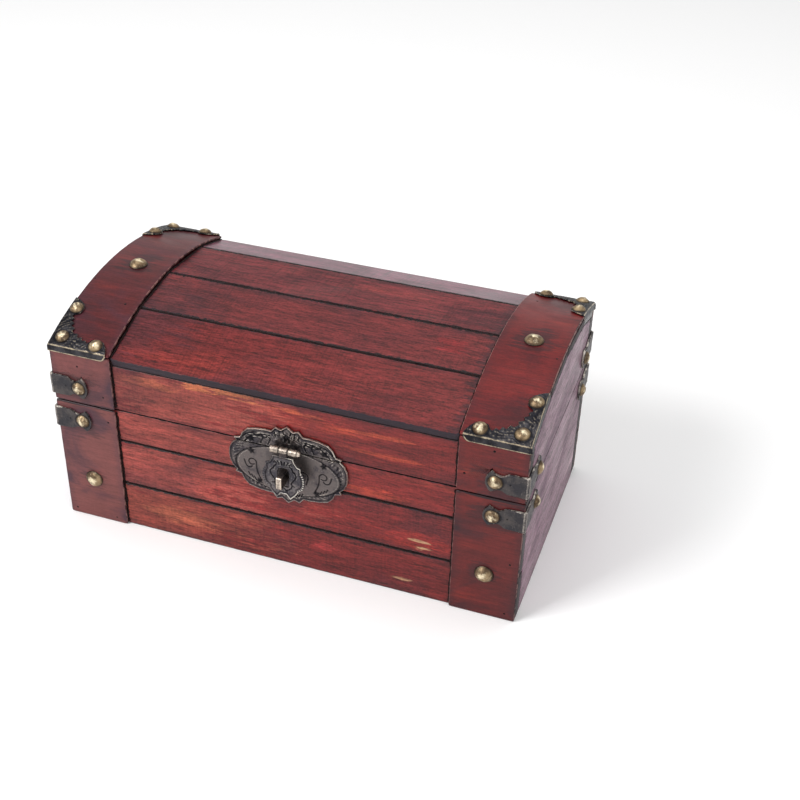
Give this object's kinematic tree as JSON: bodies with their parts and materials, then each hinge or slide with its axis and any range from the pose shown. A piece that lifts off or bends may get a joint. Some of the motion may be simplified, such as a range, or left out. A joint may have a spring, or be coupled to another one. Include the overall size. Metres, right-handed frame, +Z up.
{
  "type": "wooden storage box",
  "caption": "Small domed wooden chest with a hinged slatted lid, wooden bands, metal corners and a hasp for a padlock; holds keepsakes and small goods.",
  "frame": {"origin": "centre of the underside of the base", "axes": "+X to the right along the front, +Y from front to back, +Z up"},
  "size_m": [0.2262, 0.1334, 0.1098],
  "materials": {
    "red_wood": "red mahogany stain under gloss lacquer",
    "band_wood": "thin wood, red stain under gloss lacquer",
    "end_wood": "purple brown stain under gloss lacquer",
    "bare_wood": "bare sanded softwood",
    "corner_metal": "dark antique plating, worn bright on its folds",
    "hasp_metal": "grey bronze plating, worn bright on its rim",
    "brass_hardware": "antique brass, worn bright on the domes"
  },
  "bodies": {
    "base": {"base_bottom": "bare_wood", "base_end_left": "end_wood", "base_end_right": "end_wood", "base_front_plank_low": "red_wood", "base_front_plank_mid": "red_wood", "base_front_plank_top": "red_wood", "base_back_plank_low": "red_wood", "base_back_plank_mid": "red_wood", "base_back_plank_top": "red_wood", "base_band_front_left": "band_wood", "base_band_front_right": "band_wood", "base_band_back_left": "band_wood", "base_band_back_right": "band_wood", "base_tack_left": "brass_hardware", "base_tack_right": "brass_hardware", "base_strap_front_left": "corner_metal", "base_strap_front_right": "corner_metal", "base_strap_back_left": "corner_metal", "base_strap_back_right": "corner_metal", "hasp_lower_plate": "hasp_metal", "hasp_staple": "hasp_metal", "rear_hinge_left_base_leaf": "brass_hardware", "rear_hinge_left_pin": "brass_hardware", "rear_hinge_right_base_leaf": "brass_hardware", "rear_hinge_right_pin": "brass_hardware"},
    "lid": {"lid_front_board": "red_wood", "lid_back_board": "red_wood", "lid_end_left": "end_wood", "lid_end_right": "end_wood", "lid_slat_1": "red_wood", "lid_slat_2": "red_wood", "lid_slat_3": "red_wood", "lid_slat_4": "red_wood", "lid_band_front_left": "band_wood", "lid_band_front_right": "band_wood", "lid_band_back_left": "band_wood", "lid_band_back_right": "band_wood", "lid_band_dome_left": "band_wood", "lid_band_dome_right": "band_wood", "lid_tack_left": "brass_hardware", "lid_tack_right": "brass_hardware", "lid_corner_front_left": "corner_metal", "lid_corner_front_right": "corner_metal", "lid_corner_back_left": "corner_metal", "lid_corner_back_right": "corner_metal", "lid_strap_front_left": "corner_metal", "lid_strap_front_right": "corner_metal", "lid_strap_back_left": "corner_metal", "lid_strap_back_right": "corner_metal", "rear_hinge_left_lid_leaf": "brass_hardware", "rear_hinge_right_lid_leaf": "brass_hardware", "hasp_upper_plate": "hasp_metal", "hasp_hinge_pin": "hasp_metal"},
    "flap": {"hasp_flap": "hasp_metal"}
  },
  "joints": [
    {"name": "lid_hinge", "type": "hinge", "parent": "base", "child": "lid", "pos_m": [0, 0.0609, 0.066], "axis": [-1, 0, 0], "range_deg": [0, 105]},
    {"name": "hasp_hinge", "type": "hinge", "parent": "lid", "child": "flap", "pos_m": [0.004, -0.0634, 0.0683], "axis": [-1, 0, 0], "range_deg": [0, 170]}
  ]
}
